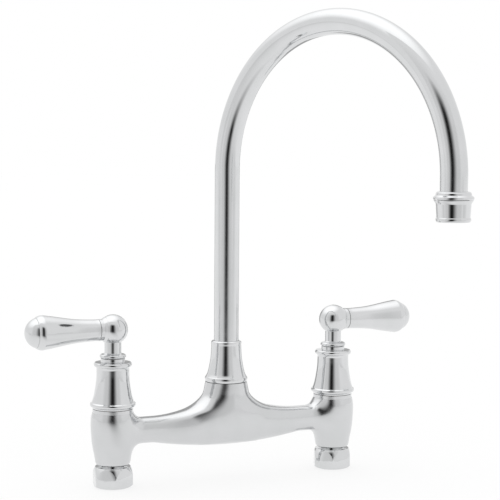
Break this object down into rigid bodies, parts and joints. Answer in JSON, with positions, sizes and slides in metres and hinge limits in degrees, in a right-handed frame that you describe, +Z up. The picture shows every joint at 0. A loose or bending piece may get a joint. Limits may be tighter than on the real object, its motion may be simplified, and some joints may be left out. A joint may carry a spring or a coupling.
{
  "type": "bridge kitchen faucet",
  "caption": "Bridge kitchen faucet with a cast bridge body, union-nut inlets, flared shrouds, quarter-turn levers on ball hubs, and a swivelling C-shaped spout.",
  "frame": {"origin": "midway between the axes of the two inlets, on the plane of the union nuts' lower faces", "axes": "+X along the bridge to the right-hand inlet, -Y towards the user, +Z up"},
  "size_m": [0.3524, 0.2561, 0.3905],
  "materials": {
    "polished_chrome": "mirror-polished chrome plate on brass",
    "brass": "turned, bare",
    "stainless_steel": "plain",
    "rubber": "moulded, matt",
    "ceramic": "lapped alumina",
    "nylon": "moulded"
  },
  "bodies": {
    "base": {"bridge_body": "polished_chrome", "left_inlet_tail": "polished_chrome", "left_inlet_washer": "rubber", "left_cartridge_body": "brass", "left_cartridge_seal": "rubber", "left_fixed_disc": "ceramic", "left_shroud": "polished_chrome", "right_inlet_tail": "polished_chrome", "right_inlet_washer": "rubber", "right_cartridge_body": "brass", "right_cartridge_seal": "rubber", "right_fixed_disc": "ceramic", "right_shroud": "polished_chrome", "spout_ferrule": "polished_chrome", "spout_washer_lower": "nylon", "spout_washer_upper": "nylon"},
    "left_nut": {"left_union_nut": "polished_chrome"},
    "right_nut": {"right_union_nut": "polished_chrome"},
    "left_handle": {"left_handle_hub": "polished_chrome", "left_hub_screw": "stainless_steel", "left_lever": "polished_chrome", "left_lever_cap": "polished_chrome", "left_spindle": "brass", "left_moving_disc": "ceramic", "left_spindle_o_ring": "rubber", "left_circlip": "stainless_steel"},
    "right_handle": {"right_handle_hub": "polished_chrome", "right_hub_screw": "stainless_steel", "right_lever": "polished_chrome", "right_lever_cap": "polished_chrome", "right_spindle": "brass", "right_moving_disc": "ceramic", "right_spindle_o_ring": "rubber", "right_circlip": "stainless_steel"},
    "spout": {"spout_tube": "polished_chrome", "spout_spigot": "brass", "spout_o_ring_lower": "rubber", "spout_o_ring_upper": "rubber", "outlet_collar": "polished_chrome", "aerator_housing": "polished_chrome", "aerator_insert": "nylon", "aerator_washer": "rubber"}
  },
  "joints": [
    {"name": "left_handle_turn", "type": "hinge", "parent": "base", "child": "left_handle", "pos_m": [-0.1016, 0, 0.107], "axis": [0, 0, 1], "range_deg": [0, 90]},
    {"name": "right_handle_turn", "type": "hinge", "parent": "base", "child": "right_handle", "pos_m": [0.1016, 0, 0.107], "axis": [0, 0, 1], "range_deg": [-90, 0]},
    {"name": "spout_swivel", "type": "hinge", "parent": "base", "child": "spout", "pos_m": [0, 0, 0.068], "axis": [0, 0, 1], "continuous": true},
    {"name": "left_nut_turn", "type": "hinge", "parent": "base", "child": "left_nut", "pos_m": [-0.1016, 0, 0.0086], "axis": [0, 0, 1], "continuous": true},
    {"name": "right_nut_turn", "type": "hinge", "parent": "base", "child": "right_nut", "pos_m": [0.1016, 0, 0.0086], "axis": [0, 0, 1], "continuous": true}
  ]
}
